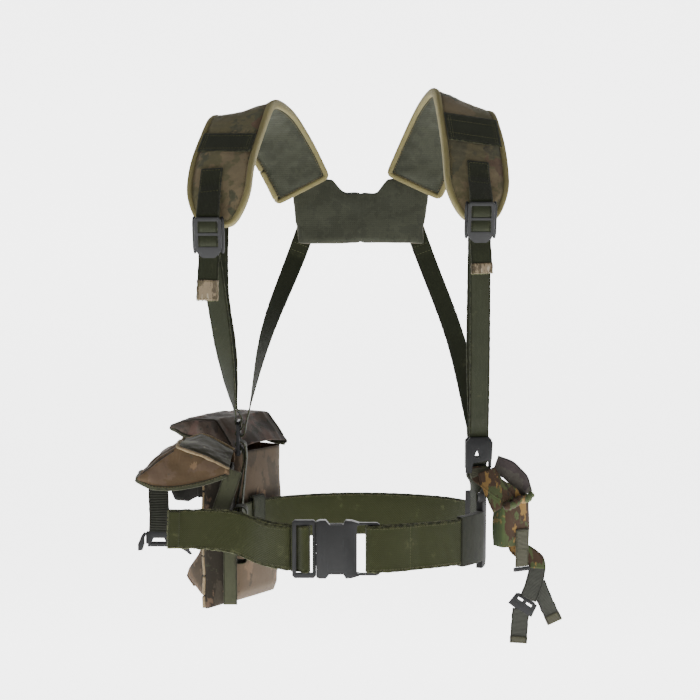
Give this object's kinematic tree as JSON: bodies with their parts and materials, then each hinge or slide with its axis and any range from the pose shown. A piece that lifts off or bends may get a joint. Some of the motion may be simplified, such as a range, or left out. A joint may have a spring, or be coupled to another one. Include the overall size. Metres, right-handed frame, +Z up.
{
  "type": "load-carrying harness",
  "caption": "Webbing waist belt with side-release buckle, padded camouflage shoulder yoke, adjustable straps, two lidded hip pouches and a small hanging side pouch.",
  "frame": {"origin": "Centre of the belt loop at half the height of the belt.", "axes": "+Z up, front of the wearer towards -Y, +X towards the wearer's left."},
  "size_m": [0.5402, 0.3138, 0.7101],
  "materials": {
    "belt_webbing": "twill webbing",
    "dark_webbing": "webbing",
    "black_cloth": "coated cloth",
    "faded_camouflage": "printed cotton",
    "foam": "closed-cell foam",
    "lining_mesh": "spacer mesh",
    "binding_tape": "bias tape",
    "strap_end": "webbing with printed end tab",
    "strap_webbing": "plain webbing",
    "green_webbing": "ribbed webbing",
    "pouch_lid_cloth": "faded printed cloth",
    "pouch_cloth": "faded printed cloth",
    "collar_cloth": "coated lining",
    "woodland_cloth": "woodland print cloth",
    "grey_webbing": "plain webbing",
    "black_plastic": "scuffed moulded nylon"
  },
  "bodies": {
    "harness": {"back_panel": "faded_camouflage", "belt_band": "belt_webbing", "belt_end_fold": "belt_webbing", "belt_front_right": "belt_webbing", "buckle_female": "black_plastic", "clasp_female": "black_plastic", "clasp_web": "green_webbing", "connector_hanger_left": "strap_webbing", "connector_hanger_right": "strap_webbing", "front_pouch_body": "pouch_cloth", "front_pouch_collar": "collar_cloth", "front_pouch_loop": "strap_webbing", "front_strap_left": "strap_webbing", "front_strap_right": "strap_webbing", "hip_sleeve": "black_cloth", "pad_binding_left": "binding_tape", "pad_binding_right": "binding_tape", "pad_cover_left": "faded_camouflage", "pad_cover_right": "faded_camouflage", "pad_cross_web_left": "strap_webbing", "pad_cross_web_right": "strap_webbing", "pad_foam_left": "foam", "pad_foam_right": "foam", "pad_lining_left": "lining_mesh", "pad_lining_right": "lining_mesh", "pad_tab_left": "strap_webbing", "pad_tab_right": "strap_webbing", "rear_pouch_body": "pouch_cloth", "rear_pouch_loop": "strap_webbing", "rear_strap_left": "strap_webbing", "rear_strap_right": "strap_webbing", "side_connector_left": "black_plastic", "side_connector_right": "black_plastic"},
    "buckle_male_half": {"buckle_male": "black_plastic", "belt_wrap": "belt_webbing"},
    "tine_up": {"tine_upper": "black_plastic"},
    "tine_low": {"tine_lower": "black_plastic"},
    "tail": {"belt_tail": "belt_webbing"},
    "keeper": {"belt_keeper": "dark_webbing"},
    "lock_left": {"ladder_lock_left": "black_plastic", "strap_wrap_left": "strap_webbing"},
    "lock_right": {"ladder_lock_right": "black_plastic", "strap_wrap_right": "strap_webbing"},
    "strap_end_left": {"strap_tail_left": "strap_end"},
    "strap_end_right": {"strap_tail_right": "strap_end"},
    "front_lid": {"front_pouch_lid": "pouch_lid_cloth"},
    "rear_lid": {"rear_pouch_lid": "pouch_lid_cloth"},
    "lid_strap": {"front_lid_strap": "green_webbing"},
    "clasp": {"clasp_male": "black_plastic"},
    "prong_outer": {"clasp_prong_outer": "black_plastic"},
    "prong_inner": {"clasp_prong_inner": "black_plastic"},
    "side_pouch": {"side_hanger": "woodland_cloth", "side_pouch_body": "woodland_cloth"},
    "side_tab": {"side_pouch_tab": "grey_webbing", "side_tab_bar": "black_plastic"},
    "side_strap_body": {"side_strap": "woodland_cloth"},
    "side_lock": {"side_ladder": "black_plastic"},
    "side_end_front": {"side_tail_front": "grey_webbing"},
    "side_end_back": {"side_tail_back": "grey_webbing"}
  },
  "joints": [
    {"name": "buckle_release", "type": "slide", "parent": "harness", "child": "buckle_male_half", "axis": [-1, 0, 0], "range_m": [0, 0.038], "deforming": ["belt_front_right"]},
    {"name": "tine_upper_press", "type": "hinge", "parent": "buckle_male_half", "child": "tine_up", "pos_m": [-0.046, -0.121, 0.015], "axis": [0, 1, 0], "range_deg": [0, 8], "stiffness_Nm_per_rad": 0.4},
    {"name": "tine_lower_press", "type": "hinge", "parent": "buckle_male_half", "child": "tine_low", "pos_m": [-0.046, -0.121, -0.015], "axis": [0, 1, 0], "range_deg": [-8, 0], "stiffness_Nm_per_rad": 0.4},
    {"name": "belt_tail_swing", "type": "hinge", "parent": "buckle_male_half", "child": "tail", "pos_m": [-0.0862, -0.1184, 0], "axis": [0, 0, 1], "range_deg": [0, 60]},
    {"name": "keeper_slide", "type": "hinge", "parent": "harness", "child": "keeper", "pos_m": [0.055, 0, 0], "axis": [0, 0, 1], "range_deg": [-8, 0]},
    {"name": "lock_left_tilt", "type": "hinge", "parent": "harness", "child": "lock_left", "pos_m": [0.141, -0.11856, 0.41217], "axis": [-1, 0, 0], "range_deg": [0, 45]},
    {"name": "lock_right_tilt", "type": "hinge", "parent": "harness", "child": "lock_right", "pos_m": [-0.182, -0.11856, 0.39417], "axis": [-1, 0, 0], "range_deg": [0, 45]},
    {"name": "strap_end_left_swing", "type": "hinge", "parent": "lock_left", "child": "strap_end_left", "pos_m": [0.141, -0.11012, 0.37114], "axis": [-1, 0, 0], "range_deg": [0, 60]},
    {"name": "strap_end_right_swing", "type": "hinge", "parent": "lock_right", "child": "strap_end_right", "pos_m": [-0.182, -0.11012, 0.35314], "axis": [-1, 0, 0], "range_deg": [0, 60]},
    {"name": "front_lid_open", "type": "hinge", "parent": "harness", "child": "front_lid", "pos_m": [-0.1622, -0.017, 0.096], "axis": [0, 1, 0], "range_deg": [-5, 60]},
    {"name": "rear_lid_open", "type": "hinge", "parent": "harness", "child": "rear_lid", "pos_m": [-0.13082, 0.07477, 0.105], "axis": [0.5736, 0.8191, 0], "range_deg": [-35, 40]},
    {"name": "lid_strap_swing", "type": "hinge", "parent": "front_lid", "child": "lid_strap", "pos_m": [-0.251, -0.0584, 0.084], "axis": [1, 0, 0], "range_deg": [0, 30]},
    {"name": "clasp_swing", "type": "hinge", "parent": "lid_strap", "child": "clasp", "pos_m": [-0.251, -0.05447, 0.004], "axis": [1, 0, 0], "range_deg": [-30, 30]},
    {"name": "prong_outer_press", "type": "hinge", "parent": "clasp", "child": "prong_outer", "pos_m": [-0.2693, -0.05447, 0.001], "axis": [0, -1, 0], "range_deg": [0, 8], "stiffness_Nm_per_rad": 0.1},
    {"name": "prong_inner_press", "type": "hinge", "parent": "clasp", "child": "prong_inner", "pos_m": [-0.2327, -0.05447, 0.001], "axis": [0, 1, 0], "range_deg": [0, 8], "stiffness_Nm_per_rad": 0.1},
    {"name": "side_pouch_swing", "type": "hinge", "parent": "harness", "child": "side_pouch", "pos_m": [0.149, 0, 0.078], "axis": [0.9903, 0.1392, 0], "range_deg": [-20, 5]},
    {"name": "side_tab_lift", "type": "hinge", "parent": "side_pouch", "child": "side_tab", "pos_m": [0.20481, -0.00719, 0.002], "axis": [-0.866, -0.5, 0], "range_deg": [0, 70]},
    {"name": "side_strap_swing", "type": "hinge", "parent": "side_pouch", "child": "side_strap_body", "pos_m": [0.2, 0.0092, -0.0214], "axis": [1, 0, 0], "range_deg": [-10, 20]},
    {"name": "side_lock_swing", "type": "hinge", "parent": "side_strap_body", "child": "side_lock", "pos_m": [0.214, -0.0011, -0.089], "axis": [-1, 0, 0], "range_deg": [0, 30]},
    {"name": "side_end_front_swing", "type": "hinge", "parent": "side_lock", "child": "side_end_front", "pos_m": [0.205, -0.0011, -0.102], "axis": [-1, 0, 0], "range_deg": [0, 45]},
    {"name": "side_end_back_swing", "type": "hinge", "parent": "side_strap_body", "child": "side_end_back", "pos_m": [0.227, 0.005, -0.07], "axis": [1, 0, 0], "range_deg": [0, 20]}
  ],
  "couplings": [
    {"joint": "tine_lower_press", "follows": "tine_upper_press", "ratio": -1},
    {"joint": "prong_inner_press", "follows": "prong_outer_press", "ratio": 1}
  ]
}
